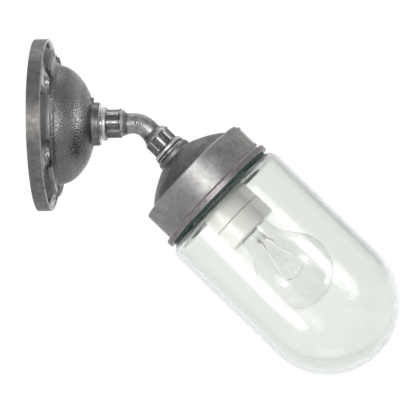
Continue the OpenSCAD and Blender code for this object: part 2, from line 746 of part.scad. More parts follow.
// A bronze strip on the floor of the holder, folded back so that its tip springs against the bulb
module holder_contact()
    color("goldenrod") on_lamp_axis() translate([-3, 0, 0]) rotate([90, 0, 90]) linear_extrude(6)
        polygon([
            [-terminal_y - 2.5, holder_floor_s], [-1.5, holder_floor_s],
            [-1.5, holder_floor_s + plate_t], [-terminal_y - 0.8, holder_floor_s + plate_t],
            [-2.9, bulb_foot_s - plate_t], [3, bulb_foot_s - plate_t], [3, bulb_foot_s],
            [-3.2, bulb_foot_s], [-terminal_y - 2.5, holder_floor_s + 1.6 * plate_t]]);

module jar_seal()
    color([0.05, 0.06, 0.05]) on_lamp_axis()
        ring(seal_r, seal_bore_r, seal_s, seal_s + seal_t);

module glass_jar() {
    in_r = jar_r - jar_wall;
    color([0.75, 0.9, 0.85, 0.4]) on_lamp_axis() rotate_extrude() polygon(concat(
        arc([jar_mouth_r + 1, jar_rim_s + 1], 1, 180, 270, 3),
        arc([jar_neck_r - 1.5, jar_rim_s + 1.5], 1.5, -90, 0, 4),
        [[jar_neck_r, jar_seat_s]],
        arc([jar_r - shoulder_r, shoulder_s], shoulder_r, -90, 0, 8),
        arc([0, jar_round_s], jar_r, 0, 90, 18),
        arc([0, jar_round_s], in_r, 90, 0, 18),
        arc([jar_r - shoulder_r, shoulder_s], shoulder_r - jar_wall, 0, -90, 5),
        arc([jar_mouth_r + 2, jar_seat_s + jar_wall - 2], 2, 90, 180, 4)));
}

module bulb_contact()
    color([0.6, 0.6, 0.62]) on_lamp_axis() rotate_extrude() polygon([
        [0, bulb_foot_s], [3.2, bulb_foot_s], [4.6, bulb_foot_s + 0.7], [4.9, insulator_s],
        [0, insulator_s]]);

module bulb_insulator() {
    seat_r = bulb_cap_r - cap_skin - thread_play;
    color([0.1, 0.1, 0.12]) on_lamp_axis() rotate_extrude() polygon([
        [0, insulator_s], [8.4, insulator_s], [seat_r, cap_start_s], [seat_r, cap_start_s + 2],
        [0, cap_start_s + 2]]);
}

module bulb_cap() {
    in_r = bulb_cap_r - cap_skin;
    color([0.8, 0.78, 0.7]) on_lamp_axis() rotate_extrude() polygon([
        [in_r, cap_start_s], [bulb_cap_r, cap_start_s + 0.3], [bulb_cap_r, bulb_rim_s - 1],
        [bulb_cap_r + 0.4, bulb_rim_s], [in_r, bulb_rim_s]]);
}

// Outline of the bulb's glass from the foot of its neck to its tip, drawn in by the given depth
function bulb_skin(inset) =
    let (r = bulb_r - inset, neck_r = bulb_neck_r - inset, meet = -40,
        join = [r * cos(meet), bulb_mid_s + r * sin(meet)],
        back = (join[0] - neck_r) / -sin(meet))
    concat(
        [[neck_r, neck_end_s]],
        curve([neck_r, bulb_rim_s], [neck_r, join[1] - back * cos(meet)], join, 8),
        [for (i = [1:16]) let (a = meet + (90 - meet) * i / 16) [0, bulb_mid_s] + r * [cos(a), sin(a)]]);

module bulb_envelope() {
    inner = bulb_skin(bulb_wall);
    color([0.9, 0.95, 0.95, 0.3]) on_lamp_axis() rotate_extrude()
        polygon(concat(bulb_skin(0), [for (i = [len(inner) - 1:-1:0]) inner[i]]));
}

module bulb_frame() rotate([0, 0, filament_turn]) children();

// Ends of the filament's three supports, below the shallow arc that the filament runs on
function support_foot(i) = [i * 0.8, 0, support_foot_s];
function filament_point(i) = [i * lead_tip / 2, 0, filament_s + (i * i == 4 ? 0 : 4 - i * i * 1.5)];
function support_tip(i) = filament_point(i) - [0, 0, 0.45];

// The glass foot and rod that carry the leads in two bores and the supports in three
module bulb_stem() {
    foot_r = bulb_neck_r - bulb_wall - thread_play;
    color([0.85, 0.9, 0.9, 0.5]) on_lamp_axis() difference() {
        rotate_extrude() polygon([
            [0, neck_end_s], [foot_r, neck_end_s], [foot_r, neck_end_s + 2], [5, bulb_rim_s - 3],
            [3.6, bulb_rim_s + 2], [3.6, press_s - 1], [1.3, press_s], [1.3, button_s - 2],
            [2.2, button_s - 1], [2.2, button_s + 0.4], [1.6, button_s + 1], [0, button_s + 1]]);
        bulb_frame() {
            for (side = [-1, 1]) translate([side * lead_foot, 0, press_s - 3])
                cylinder(r = lead_d / 2 + thread_play, h = 3 + over, $fn = 24);
            for (i = [-1:1]) translate(support_foot(i))
                rotate([0, atan2((support_tip(i) - support_foot(i))[0], (support_tip(i) - support_foot(i))[2]), 0])
                    cylinder(r = support_d / 2 + thread_play, h = 3, $fn = 24);
        }
    }
}

module bulb_leads()
    color([0.6, 0.5, 0.3]) on_lamp_axis() bulb_frame() for (side = [-1, 1])
        sweep([[side * lead_foot, 0, press_s - 3], [side * lead_foot, 0, press_s + 0.5],
            [side * 4.6, 0, press_s + 15], [side * lead_tip, 0, bulb_mid_s]], lead_d / 2, 6);

module bulb_supports()
    color([0.6, 0.55, 0.45]) on_lamp_axis() bulb_frame() for (i = [-1:1])
        sweep([support_foot(i), support_tip(i)], support_d / 2, 6);

module filament()
    color([0.5, 0.5, 0.52]) on_lamp_axis() bulb_frame()
        sweep([for (i = [-2:2]) filament_point(i)], filament_d / 2, 6);

rose();
rose_nipple();
rose_lock_washer();
rose_locknut();
arm_grub_screw();
terminal_block();
terminal_tubes();
terminal_screws();
terminal_fixings();
earth_screw();
earth_washer();
earth_tag();
earth_wire();
live_wire();
neutral_wire();
elbow();
lamp_nipple();
neck_washer();
cap();
cap_locknut();
holder_bracket();
holder_screws();
holder_base();
holder_ring();
holder_shell();
holder_contact();
jar_seal();
glass_jar();
bulb_contact();
bulb_insulator();
bulb_cap();
bulb_envelope();
bulb_stem();
bulb_leads();
bulb_supports();
filament();
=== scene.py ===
"""Looks of an outdoor wall light: a cast wall rose, a galvanised pipe bend, a cast cap and a glass jar.

The wall is the plane x = 0 and z is up. The lamp axis starts at the mouth of the bend and points
45 degrees down from +x; "along" and "s" are the distance along it. Lengths of the pieces are in
millimetres and are turned into metres where a mesh is made. Lengths of the camera, the lights, the
floor and the finishes are in metres, unless a finish says otherwise.
"""
import json
import math

import bpy
import numpy as np
from mathutils import Matrix, Vector


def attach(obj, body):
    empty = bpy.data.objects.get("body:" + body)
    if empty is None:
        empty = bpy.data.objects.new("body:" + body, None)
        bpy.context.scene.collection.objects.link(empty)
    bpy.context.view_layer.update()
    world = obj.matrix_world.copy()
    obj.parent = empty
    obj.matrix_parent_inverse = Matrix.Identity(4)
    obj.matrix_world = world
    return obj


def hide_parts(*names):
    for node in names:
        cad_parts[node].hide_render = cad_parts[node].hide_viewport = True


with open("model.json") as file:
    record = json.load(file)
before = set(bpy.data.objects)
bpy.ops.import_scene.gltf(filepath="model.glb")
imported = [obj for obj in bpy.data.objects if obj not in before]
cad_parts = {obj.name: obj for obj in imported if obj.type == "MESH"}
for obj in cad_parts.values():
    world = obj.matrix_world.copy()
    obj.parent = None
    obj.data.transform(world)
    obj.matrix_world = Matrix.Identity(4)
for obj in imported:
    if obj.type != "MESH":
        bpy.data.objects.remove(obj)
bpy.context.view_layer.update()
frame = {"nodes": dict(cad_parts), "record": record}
nodes = frame["nodes"]

TURN = 2 * math.pi
# Cosine of 45 degrees
C45 = math.sqrt(0.5)
# Millimetres in a metre
METRE = 1000
# Start of the lamp axis
LAMP_X, LAMP_Z = 102.5132, -21.2132
# Distance of the rim's front from the wall, the turn of the ring of pockets in degrees, and their number
RIM_FRONT, POCKET_TURN, POCKETS = 10.8, -4.5, 6
# Distance along the lamp axis where the porcelain's two pieces meet, and radius of the front one's hole
HOLDER_JOINT, HOLDER_BORE = 73.0, 14.6


# Camera, lights and floor

def aimed(place, across, upward, back):
    """The matrix of a camera or a light at a place; it looks opposite to back."""
    turn = Matrix((across, upward, back)).transposed()
    return Matrix.Translation(place) @ turn.to_4x4()


def set_camera():
    """A long lens at the photograph's angle: a little to the right of square on, a little low, and
    tilted."""
    azimuth, elevation, roll = math.radians(4.7), math.radians(-0.7), math.radians(1.0)
    distance, aside, raised = 2.5, -0.01264, 0.0036
    target = Vector((0.138, 0, -0.064))
    back = Vector((math.sin(azimuth) * math.cos(elevation),
                   -math.cos(azimuth) * math.cos(elevation), math.sin(elevation)))
    right = Vector((math.cos(azimuth), math.sin(azimuth), 0))
    up = back.cross(right)
    across = right * math.cos(roll) - up * math.sin(roll)
    upward = right * math.sin(roll) + up * math.cos(roll)
    data = bpy.data.cameras.new("photo_camera")
    data.sensor_width = 36
    data.lens = 292
    data.clip_end = 100
    camera = bpy.data.objects.new("photo_camera", data)
    bpy.context.scene.collection.objects.link(camera)
    place = target + back * distance + across * aside + upward * raised
    camera.matrix_world = aimed(place, across, upward, back)
    bpy.context.scene.camera = camera


def set_world():
    """A white band round the horizon, brightest behind the light and dimmest beyond the jar, and grey
    above and below it."""
    world = bpy.data.worlds.new("studio_room")
    bpy.context.scene.world = world
    world.use_nodes = True
    tree = world.node_tree
    tree.nodes.clear()
    where = tree.nodes.new("ShaderNodeTexCoord")
    split = tree.nodes.new("ShaderNodeSeparateXYZ")
    tree.links.new(where.outputs["Generated"], split.inputs[0])

    def fade(axis, start, end, first, last):
        """Goes from first to last while the direction's share of an axis goes from start to end."""
        made = tree.nodes.new("ShaderNodeMapRange")
        tree.links.new(split.outputs[axis], made.inputs["Value"])
        for key, value in (("From Min", start), ("From Max", end), ("To Min", first), ("To Max", last)):
            made.inputs[key].default_value = value
        return made.outputs["Result"]

    # Height, from 0 straight down to 1 straight up, and the white there
    bands = [(0.0, 0.30), (0.30, 0.36), (0.44, 1.0), (0.60, 1.0), (0.72, 0.60), (1.0, 0.60)]
    ramp = tree.nodes.new("ShaderNodeValToRGB")
    tree.links.new(fade("Z", -1, 1, 0, 1), ramp.inputs["Fac"])
    for i, (height, white) in enumerate(bands):
        stop = ramp.color_ramp.elements[i] if i < 2 else ramp.color_ramp.elements.new(height)
        stop.position = height
        stop.color = (white, white, white * 1.01, 1)
    both = tree.nodes.new("ShaderNodeMath")
    both.operation = "MULTIPLY"
    tree.links.new(fade("Y", -0.1, 0.6, 0.72, 1), both.inputs[0])
    tree.links.new(fade("X", 0.4, 0.85, 1, 0.82), both.inputs[1])
    sky = tree.nodes.new("ShaderNodeBackground")
    tree.links.new(ramp.outputs["Color"], sky.inputs["Color"])
    tree.links.new(both.outputs[0], sky.inputs["Strength"])
    out = tree.nodes.new("ShaderNodeOutputWorld")
    tree.links.new(sky.outputs[0], out.inputs[0])


def group(name, pieces):
    """A collection of pieces for the links of a light."""
    made = bpy.data.collections.new(name)
    for piece in pieces:
        made.objects.link(piece)
    return made


def softbox(name, place, aim, width, height, glow, only=(), shaded_by=(), upright=(0, 0, 1)):
    """A rectangular soft light at a place, pointing at another place, and as bright as glow times white.

    Where pieces are named, it lights only those, and only the named ones shade it. Its height runs along
    the upright direction as far as that fits.
    """
    data = bpy.data.lights.new(name, "AREA")
    data.shape = "RECTANGLE"
    data.size, data.size_y = width, height
    data.energy = glow * math.pi * width * height
    light = bpy.data.objects.new(name, data)
    bpy.context.scene.collection.objects.link(light)
    back = (Vector(place) - Vector(aim)).normalized()
    across = Vector(upright).cross(back).normalized()
    light.matrix_world = aimed(place, across, back.cross(across), back)
    if only:
        light.light_linking.receiver_collection = group(name + "_lights", only)
    if shaded_by:
        light.light_linking.blocker_collection = group(name + "_shades", shaded_by)


def set_floor(finish):
    """A wide pale floor well below the light."""
    half, level = 4, -0.9
    mesh = bpy.data.meshes.new("studio_floor")
    corners = [(-half, -half, level), (half, -half, level), (half, half, level), (-half, half, level)]
    mesh.from_pydata(corners, [], [[0, 1, 2, 3]])
    floor = bpy.data.objects.new("studio_floor", mesh)
    bpy.context.scene.collection.objects.link(floor)
    mesh.materials.append(finish)
    return floor


# Surfaces

def at_lamp(across, side, along):
    """Points of the lamp's own frame in the light's frame: along the lamp axis, side is +y, across is
    up."""
    return np.stack([LAMP_X + (along + across) * C45, side,
                     LAMP_Z + (across - along) * C45], axis=-1)


def surface(name, points, finish, body, closed=True, marks=()):
    """A grid of points (rows, columns, 3) in millimetres made into quads, outward by its signed volume.

    Row i meets row i + 1 and column j meets column j + 1, the last column meets the first, and on a
    closed surface the last row meets the first. Points in one place become one, so that a row of them
    closes a pole. Each mark is a name with a grid of numbers for the finish to read.
    """
    rows, columns = points.shape[:2]
    index = np.arange(rows * columns).reshape(rows, columns)
    if closed:
        index = np.vstack([index, index[:1]])
    index = np.hstack([index, index[:, :1]])
    quads = [index[:-1, :-1], index[1:, :-1], index[1:, 1:], index[:-1, 1:]]
    quads = np.stack(quads, -1).reshape(-1, 4)
    place = points.reshape(-1, 3)
    a, b, c, d = (place[quads[:, k]] for k in range(4))
    volume = np.einsum("ij,ij->", a, np.cross(b, c)) + np.einsum("ij,ij->", a, np.cross(c, d))
    if volume < 0:
        quads = quads[:, ::-1]
    _, first, which = np.unique(np.round(place, 6), axis=0, return_index=True, return_inverse=True)
    corners = which.reshape(-1)[quads]
    same = corners == np.roll(corners, -1, 1)
    pinched = same.sum(1) == 1
    threes = corners[pinched][~same[pinched]].reshape(-1, 3)
    faces = corners[~same.any(1)].tolist() + threes.tolist()
    mesh = bpy.data.meshes.new(name)
    mesh.from_pydata((place[first] / METRE).tolist(), [], faces)
    mesh.polygons.foreach_set("use_smooth", np.ones(len(faces), bool))
    for mark, values in marks:
        made = mesh.attributes.new(mark, "FLOAT", "POINT")
        made.data.foreach_set("value", np.ravel(values)[first].astype("f"))
    mesh.materials.append(finish)
    mesh.update()
    piece = bpy.data.objects.new(name, mesh)
    bpy.context.scene.collection.objects.link(piece)
    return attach(piece, body)


def finely(path, step):
    """An open polyline with each long side cut into equal parts no longer than the step."""
    p = np.asarray(path, float)
    start, side = p[:-1], p[1:] - p[:-1]
    count = np.maximum(1, np.ceil(np.linalg.norm(side, axis=1) / step)).astype(int)
    which = np.repeat(np.arange(len(start)), count)
    part = (np.arange(count.sum()) - np.repeat(np.cumsum(count) - count, count)) / count[which]
    return np.vstack([start[which] + side[which] * part[:, None], p[-1:]])


def arc(mid, radius, start, end, steps):
    """Points of a circle's arc from one angle to another, in degrees."""
    a = np.radians(np.linspace(start, end, steps + 1))
    return np.stack([mid[0] + radius * np.cos(a), mid[1] + radius * np.sin(a)], -1)


def turned(profile, sides, swell=None):
    """A profile of (radius, distance) rows carried round the lamp axis; swell(radius, distance, angle)
    adds to the radius."""
    angle = np.arange(sides) / sides * TURN
    r, a = np.meshgrid(profile[:, 0], angle, indexing="ij")
    s = np.repeat(profile[:, 1:], sides, 1)
    if swell is not None:
        r = r + swell(r, s, a)
    return at_lamp(r * np.cos(a), r * np.sin(a), s)


def smooth(value, low, high):
    """0 below low and 1 above high, with a smooth step between."""
    t = np.clip((value - low) / (high - low), 0, 1)
    return t * t * (3 - 2 * t)


def between(value, rise, fall):
    """1 between two soft edges and 0 outside them; each edge is given as (low, high)."""
    return smooth(value, *rise) * (1 - smooth(value, *fall))


def thread(s, angle, pitch, start, end, fade):
    """Height 0 to 1 of a rounded screw thread: a raised cosine of the distance less the pitch times the
    turn, made narrower by a power of 1.4, and faded in and out at the ends of its length."""
    wave = (0.5 + 0.5 * np.cos(TURN * (s / pitch - angle / TURN))) ** 1.4
    return wave * between(s, (start, start + fade), (end - fade, end))


# Finishes

class Finish:
    """A material under construction: each method adds nodes and gives their output."""

    def __init__(self, name):
        self.mat = bpy.data.materials.new(name)
        self.mat.use_nodes = True
        self.tree = self.mat.node_tree
        self.shader = self.tree.nodes["Principled BSDF"]
        self.where = self.tree.nodes.new("ShaderNodeTexCoord").outputs["Object"]

    def join(self, slot, value):
        """Links an output to an input, or sets the input to a constant value."""
        if isinstance(value, bpy.types.NodeSocket):
            self.tree.links.new(value, slot)
        else:
            slot.default_value = value

    def fill(self, made, **inputs):
        """Joins a value to each named input of a node; an underscore stands for a space."""
        for key, value in inputs.items():
            self.join(made.inputs[key.replace("_", " ")], value)
        return made

    def put(self, **inputs):
        """Joins a value to each named input of the shader."""
        self.fill(self.shader, **inputs)

    def node(self, kind, **settings):
        made = self.tree.nodes.new(kind)
        for key, value in settings.items():
            setattr(made, key, value)
        return made

    def calc(self, kind, a, b=0.0):
        made = self.node("ShaderNodeMath", operation=kind)
        self.join(made.inputs[0], a)
        self.join(made.inputs[1], b)
        return made.outputs[0]

    def times(self, a, b):
        return self.calc("MULTIPLY", a, b)

    def plus(self, a, b):
        return self.calc("ADD", a, b)

    def less(self, a, b):
        return self.calc("SUBTRACT", a, b)

    def most(self, a, b):
        return self.calc("MAXIMUM", a, b)

    def step(self, value, low, high, to_low=0.0, to_high=1.0):
        """to_low below low and to_high above high, with a smooth step between."""
        made = self.node("ShaderNodeMapRange", interpolation_type="SMOOTHSTEP")
        self.fill(made, Value=value, From_Min=low, From_Max=high, To_Min=to_low, To_Max=to_high)
        return made.outputs["Result"]

    def fall(self, value, low, high):
        """1 below low and 0 above high."""
        return self.step(value, low, high, 1.0, 0.0)

    def band(self, value, rise, fall):
        """1 between two soft edges and 0 outside them; each edge is given as (low, high)."""
        return self.times(self.step(value, *rise), self.fall(value, *fall))

    def blend(self, factor, a, b):
        """Colour a where the factor is 0 and b where it is 1."""
        made = self.node("ShaderNodeMix", data_type="RGBA")
        for slot, value in ((0, factor), (6, a), (7, b)):
            self.join(made.inputs[slot], value)
        return made.outputs[2]

    def paint(self, colour, over, factor, amount):
        """A colour with another one laid over it where the factor is 1, as thickly as the amount."""
        return self.blend(self.times(factor, amount), colour, over)

    def mark(self, name):
        """The numbers that a mesh carries under a name."""
        return self.node("ShaderNodeAttribute", attribute_name=name).outputs["Fac"]

    def stretch(self, vector, scale):
        return self.fill(self.node("ShaderNodeMapping"), Vector=vector, Scale=scale).outputs[0]

    def noise(self, vector, scale, detail=3.0, roughness=0.55):
        made = self.node("ShaderNodeTexNoise")
        self.fill(made, Vector=vector, Scale=scale, Detail=detail, Roughness=roughness)
        return made.outputs["Fac"]

    def cells(self, vector, scale, smoothness):
        made = self.node("ShaderNodeTexVoronoi", feature="SMOOTH_F1")
        self.fill(made, Vector=vector, Scale=scale, Smoothness=smoothness)
        return made.outputs["Distance"]

    def bump(self, height, strength, distance):
        made = self.node("ShaderNodeBump")
        return self.fill(made, Height=height, Strength=strength, Distance=distance).outputs[0]

    def lamp_frame(self):
        """Coordinates with x along the lamp axis."""
        turn = self.node("ShaderNodeMapping", vector_type="TEXTURE")
        self.fill(turn, Vector=self.where, Location=(LAMP_X / METRE, 0, LAMP_Z / METRE),
                  Rotation=(0, math.pi / 4, 0))
        return turn.outputs[0]

    def parts(self, vector):
        """The X, Y and Z of a vector."""
        return self.fill(self.node("ShaderNodeSeparateXYZ"), Vector=vector).outputs

    def radius(self, vector):
        """Distance from the x axis of a vector, and its distance along that axis."""
        split = self.parts(vector)
        y2 = self.times(split["Y"], split["Y"])
        z2 = self.times(split["Z"], split["Z"])
        return self.calc("SQRT", self.plus(y2, z2)), split["X"]

    def near(self, radius, along, at, width):
        """1 on the circle at = (radius, distance) and 0 further from it than the width. Both are in
        millimetres."""
        dr = self.less(radius, at[0] / METRE)
        ds = self.less(along, at[1] / METRE)
        gap = self.calc("SQRT", self.plus(self.times(dr, dr), self.times(ds, ds)))
        return self.fall(gap, 0.0, width / METRE)


def grey(value, warm=0.0):
    """A grey as a colour, pulled towards brown by warm or towards blue by a negative warm."""
    return value * (1 + warm), value, value * (1 - warm), 1.0


def rose_casting():
    """Cast aluminium: brushed rim, painted shade in the groove, hammered dome and a smooth collar.

    The zones are rings round the wall axis with soft edges, each given as (low, high): the distance from
    the axis, or for the collar and its face the distance from the wall.
    """
    collar_root, root_shade_out = (0.0165, 0.0185), (0.0270, 0.0340)
    highlight_ring_in, highlight_ring_out = (0.0310, 0.0345), (0.0400, 0.0440)
    dome_out = (0.0520, 0.0535)
    pocket_in, pocket_out = (0.0490, 0.0494), (0.0636, 0.0640)
    groove_in, groove_out, rim_in = (0.0560, 0.0575), (0.0630, 0.0642), (0.0640, 0.0644)
    collar_back, collar_face = (0.0428, 0.0440), (0.0492, 0.0496)
    pocket_flank = math.radians(4.5), math.radians(9.8)
    rim_corner, ridge_corner = (65.6, RIM_FRONT - 0.2), (54.2, 16.6)

    f = Finish("rose_casting")
    radius, along = f.radius(f.where)
    split = f.parts(f.where)
    rim = f.step(radius, *rim_in)
    dome = f.band(radius, collar_root, dome_out)
    collar = f.step(along, *collar_back)
    cloud = f.noise(f.where, 45, 4.0)
    fine = f.noise(f.where, 240, 3.0)
    grain = f.noise(f.stretch(f.where, (3.0, 1.0, 1.0)), 700, 3.0)
    cells = f.cells(f.where, 720, 0.6)

    colour = f.blend(f.step(cloud, 0.3, 0.7), grey(0.21, -0.02), grey(0.32, -0.015))
    # Painted highlight: a paler ring round the dome, also a little smoother
    highlight_ring = f.band(radius, highlight_ring_in, highlight_ring_out)
    colour = f.paint(colour, grey(0.48, 0.02), highlight_ring, 0.32)
    # Painted shade on the dome round the collar's root
    collar_root_shade = f.times(f.fall(radius, *root_shade_out), dome)
    colour = f.paint(colour, grey(0.10, -0.02), collar_root_shade, 0.58)
    # Darker along the low lines between the hammered cells
    cell_edges_dark = f.times(f.step(cells, 0.30, 0.62), dome)
    colour = f.paint(colour, grey(0.12, 0.0), cell_edges_dark, 0.30)
    brushed = f.blend(f.step(fine, 0.3, 0.7), grey(0.205, 0.035), grey(0.285, 0.04))
    colour = f.blend(rim, colour, brushed)
    # Painted shade in the groove
    colour = f.paint(colour, grey(0.13, 0.01), f.band(radius, groove_in, groove_out), 0.75)
    # The angle round the axis, folded so that it is 0 in the middle of each pocket
    turn = f.calc("ARCTAN2", split["Y"], f.times(split["Z"], -1.0))
    turn = f.plus(turn, math.radians(180 - POCKET_TURN))
    turn = f.calc("PINGPONG", turn, math.radians(180 / POCKETS))
    pocket = f.times(f.fall(turn, *pocket_flank), f.band(radius, pocket_in, pocket_out))
    # Painted highlight on the pocket floors
    pocket_highlight = f.blend(f.step(fine, 0.3, 0.6), grey(0.42, -0.01), grey(0.66, -0.01))
    colour = f.blend(pocket, colour, pocket_highlight)
    # Painted highlight along the rim's front corner and the ridge
    edge = f.most(f.near(radius, along, rim_corner, 1.4), f.near(radius, along, ridge_corner, 1.3))
    colour = f.blend(f.times(edge, f.step(fine, 0.25, 0.5)), colour, grey(0.72, 0.02))
    smoothed = f.blend(f.step(fine, 0.35, 0.65), grey(0.18, 0.01), grey(0.30, 0.01))
    colour = f.blend(collar, colour, smoothed)
    # Painted highlight on the collar's face, next to the bend
    colour = f.blend(f.step(along, *collar_face), colour, grey(0.85, 0.0))

    rough = f.step(f.noise(f.where, 300, 3.0), 0.3, 0.7, 0.30, 0.46)
    rough = f.less(rough, f.plus(f.times(dome, 0.07), f.times(highlight_ring, 0.06)))
    height = f.plus(f.times(f.times(cells, -1.0), dome), f.times(grain, 0.30))
    height = f.times(height, f.less(1.0, f.times(collar, 0.7)))
    f.put(Metallic=1.0, Base_Color=colour, Roughness=rough, Normal=f.bump(height, 0.48, 0.0006))
    return f.mat


def cap_casting():
    """Cast aluminium, brushed round the lamp axis and half polished, stained on the dome, with painted
    shade under the shelf and on the neck ring, painted highlights along its corners, and pale inside.

    The zones have soft edges, each given as (low, high): the distance along the lamp axis, or for the
    neck ring and the inside also the distance from it.
    """
    ring_end, shade_start, dome_end = (0.0074, 0.0082), (0.014, 0.0215), (0.0222, 0.0226)
    flange_start, inside_start = (0.0480, 0.0486), (0.0262, 0.0268)
    ring_out, inside_out = (0.0146, 0.0152), (0.0428, 0.0434)
    shelf_corner, flange_corner, neck_corner = (47.9, 23.6), (51.5, 48.3), (13.6, 1.3)

    f = Finish("cap_casting")
    lamp = f.lamp_frame()
    radius, along = f.radius(lamp)
    cloud = f.noise(lamp, 60, 4.0)
    speck = f.noise(lamp, 320, 3.0)
    fine = f.noise(f.stretch(lamp, (1.0, 0.2, 0.2)), 1200, 2.0)

    colour = f.blend(f.step(cloud, 0.35, 0.65), grey(0.36, 0.02), grey(0.47, 0.025))
    colour = f.paint(colour, grey(0.14, 0.03), f.step(speck, 0.45, 0.75), 0.35)
    dome = f.band(along, ring_end, dome_end)
    blotch = f.step(f.noise(lamp, 95, 5.0, 0.65), 0.38, 0.62)
    colour = f.paint(colour, f.blend(blotch, grey(0.13, 0.03), grey(0.33, 0.03)), dome, 0.60)
    # Painted shade on the dome under the shelf
    colour = f.paint(colour, grey(0.09, 0.03), f.band(along, shade_start, dome_end), 0.25)
    # Painted shade on the neck ring between the bend and the dome
    ring = f.times(f.fall(radius, *ring_out), f.fall(along, *ring_end))
    colour = f.paint(colour, grey(0.15, 0.03), ring, 0.6)
    # Painted highlight along the shelf, flange and neck corners
    edge = f.most(f.near(radius, along, shelf_corner, 1.2), f.near(radius, along, flange_corner, 1.0))
    neck = f.times(f.near(radius, along, neck_corner, 1.8), f.step(speck, 0.40, 0.55))
    colour = f.blend(f.most(edge, neck), colour, grey(0.75, 0.02))
    pinkish = f.blend(f.step(speck, 0.3, 0.7), (0.29, 0.26, 0.26, 1), (0.41, 0.38, 0.38, 1))
    colour = f.blend(f.step(along, *flange_start), colour, pinkish)
    inside = f.times(f.fall(radius, *inside_out), f.step(along, *inside_start))
    colour = f.blend(inside, colour, (0.80, 0.86, 0.82, 1))

    rough = f.step(f.noise(lamp, 180, 3.0), 0.3, 0.7, 0.34, 0.43)
    height = f.plus(f.noise(lamp, 420, 3.0), f.times(fine, 0.5))
    f.put(Metallic=f.less(1.0, inside), Base_Color=colour, Roughness=f.plus(rough, f.times(dome, 0.14)),
          Normal=f.bump(height, 0.15, 0.0003))
    return f.mat


def galvanised_iron():
    """Zinc-dipped iron: blotchy and half bright, with painted shade between the ribs and under the
    sockets, bright at the mouths and, as painted highlight, on the crests. It reads two marks of the
    mesh, painted_shade and crest."""
    f = Finish("galvanised_iron")
    cloud = f.noise(f.where, 210, 4.0, 0.6)
    speck = f.noise(f.where, 700, 3.0)
    painted_shade = f.times(f.mark("painted_shade"), f.step(speck, 0.25, 0.6, 1.0, 0.6))
    crest = f.times(f.mark("crest"), f.step(speck, 0.25, 0.5, 0.4, 1.0))
    colour = f.blend(f.step(cloud, 0.36, 0.64), grey(0.30, -0.015), grey(0.52, -0.01))
    # Painted shade
    colour = f.blend(painted_shade, colour, grey(0.10))
    # Painted highlight on the ribs, shoulders and pips, and polished metal at the mouths
    colour = f.blend(crest, colour, grey(0.85))
    f.put(Metallic=1.0, Base_Color=colour,
          Roughness=f.step(f.noise(f.where, 500, 3.0), 0.3, 0.7, 0.28, 0.46),
          Normal=f.bump(f.noise(f.where, 270, 3.0), 0.42, 0.0006))
    return f.mat


def plain_metal(name, dark, light, low, high, metallic=1.0):
    """A metal whose colour drifts from dark to light over a fine cloud while its roughness drifts from
    high to low."""
    f = Finish(name)
    cloud = f.noise(f.where, 350, 3.0)
    f.put(Metallic=metallic, Base_Color=f.blend(f.step(cloud, 0.3, 0.7), dark, light),
          Roughness=f.step(cloud, 0.3, 0.7, high, low),
          Normal=f.bump(f.noise(f.where, 1400, 2.0), 0.15, 0.0001))
    return f.mat


def plain_skin(name, dark, light, low, high, scale=200):
    """Plastic, rubber or enamel: a colour and a gloss that drift a little, and a fine bump."""
    f = Finish(name)
    cloud = f.noise(f.where, scale, 3.0)
    f.put(Base_Color=f.blend(f.step(cloud, 0.3, 0.7), dark, light),
          Roughness=f.step(cloud, 0.3, 0.7, low, high),
          Normal=f.bump(f.noise(f.where, scale * 5, 2.0), 0.15, 0.0002))
    return f.mat


def porcelain():
    """White glazed clay with a fine dark line where its two pieces meet."""
    f = Finish("porcelain")
    lamp = f.lamp_frame()
    radius, along = f.radius(lamp)
    cloud = f.noise(lamp, 60, 3.0)
    colour = f.blend(f.step(cloud, 0.3, 0.7), (0.90, 0.90, 0.84, 1), (0.95, 0.95, 0.90, 1))
    joint = f.near(radius, along, (21.3, HOLDER_JOINT), 0.75)
    f.put(Coat_Weight=0.3, Coat_Roughness=0.1, Base_Color=f.blend(joint, colour, (0.10, 0.10, 0.09, 1)),
          Roughness=f.step(cloud, 0.3, 0.7, 0.25, 0.36),
          Normal=f.bump(f.noise(lamp, 300, 2.0), 0.05, 0.0002))
    return f.mat


def glass(name, tint, index, sheen, wave):
    """Clear glass with faint waves in its surface, under a coat whose roughness is the sheen."""
    f = Finish(name)
    f.put(Transmission_Weight=1.0, IOR=index, Base_Color=tint, Roughness=0.0, Specular_IOR_Level=0.06,
          Coat_Weight=1.0, Coat_Roughness=sheen, Coat_IOR=1.5,
          Normal=f.bump(f.noise(f.where, 45, 2.0), wave, 0.0008))
    return f


def jar_glass():
    """Thick glass with a green tint that deepens with the length of the way through it."""
    f = glass("jar_glass", (0.967, 0.966, 0.943, 1), 1.47, 0.2, 0.015)
    fog = f.fill(f.node("ShaderNodeVolumeAbsorption"), Color=(0.40, 0.78, 0.62, 1), Density=11.0)
    f.tree.links.new(fog.outputs[0], f.tree.nodes["Material Output"].inputs["Volume"])
    return f.mat


